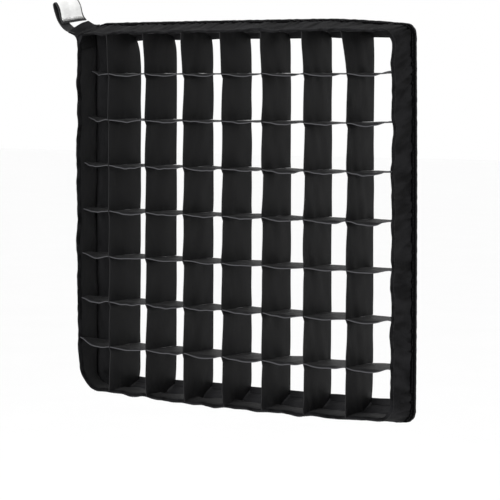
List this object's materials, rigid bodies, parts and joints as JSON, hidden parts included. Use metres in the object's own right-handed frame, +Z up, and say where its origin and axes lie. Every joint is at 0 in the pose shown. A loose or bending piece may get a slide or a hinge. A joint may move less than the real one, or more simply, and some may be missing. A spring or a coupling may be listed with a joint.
{
  "type": "fabric egg-crate light-control grid",
  "caption": "Fabric egg-crate grid in a soft rectangular frame with rounded corners, which narrows the beam of a softbox or flat lamp, with a pull tab at one corner.",
  "frame": {"origin": "centre of the rear opening, in the plane of the rear mounting face", "axes": "+X across the grid to the right as seen from the front, +Y from the front to the mounting side, +Z up"},
  "size_m": [0.5315, 0.0603, 0.5224],
  "materials": {
    "grid_fabric": "matt black woven nylon, doubled",
    "band_fabric": "matt black woven nylon with a slight sheen",
    "rim_fabric": "black woven nylon, pulled over a hoop",
    "hook_tape": "black hook tape, very matt",
    "binding": "black woven edge binding",
    "webbing": "black woven polyester webbing",
    "label": "plain white woven label",
    "spring_steel": "flat spring steel",
    "ferrule_metal": "plated steel tube, pressed flat"
  },
  "bodies": {
    "rear_frame": {"rear_spring_hoop": "spring_steel", "rear_hoop_ferrule": "ferrule_metal", "rear_hem": "rim_fabric", "grip_tape": "hook_tape", "edge_binding": "binding", "band_panel_right": "band_fabric", "band_panel_top": "band_fabric", "band_panel_left": "band_fabric", "band_panel_bottom": "band_fabric", "upright_strip_1": "grid_fabric", "upright_strip_2": "grid_fabric", "upright_strip_3": "grid_fabric", "upright_strip_4": "grid_fabric", "upright_strip_5": "grid_fabric", "upright_strip_6": "grid_fabric", "upright_strip_7": "grid_fabric", "level_strip_1": "grid_fabric", "level_strip_2": "grid_fabric", "level_strip_3": "grid_fabric", "level_strip_4": "grid_fabric", "level_strip_5": "grid_fabric", "level_strip_6": "grid_fabric", "level_strip_7": "grid_fabric", "corner_patch": "band_fabric"},
    "front_frame": {"front_spring_hoop": "spring_steel", "front_hoop_ferrule": "ferrule_metal", "front_hem": "rim_fabric"},
    "corner_tab": {"pull_tab": "webbing", "tab_label": "label"}
  },
  "joints": [
    {"name": "flatten", "type": "slide", "parent": "rear_frame", "child": "front_frame", "axis": [0, 1, 0], "range_m": [0, 0.038], "stiffness_N_per_m": 40, "deforming": ["band_panel_right", "band_panel_top", "band_panel_left", "band_panel_bottom", "upright_strip_1", "upright_strip_2", "upright_strip_3", "upright_strip_4", "upright_strip_5", "upright_strip_6", "upright_strip_7", "level_strip_1", "level_strip_2", "level_strip_3", "level_strip_4", "level_strip_5", "level_strip_6", "level_strip_7", "corner_patch"]},
    {"name": "tab_swing", "type": "hinge", "parent": "front_frame", "child": "corner_tab", "pos_m": [-0.2515, -0.047, 0.234], "axis": [0, 1, 0], "range_deg": [-110, 40], "stiffness_Nm_per_rad": 0.04}
  ]
}
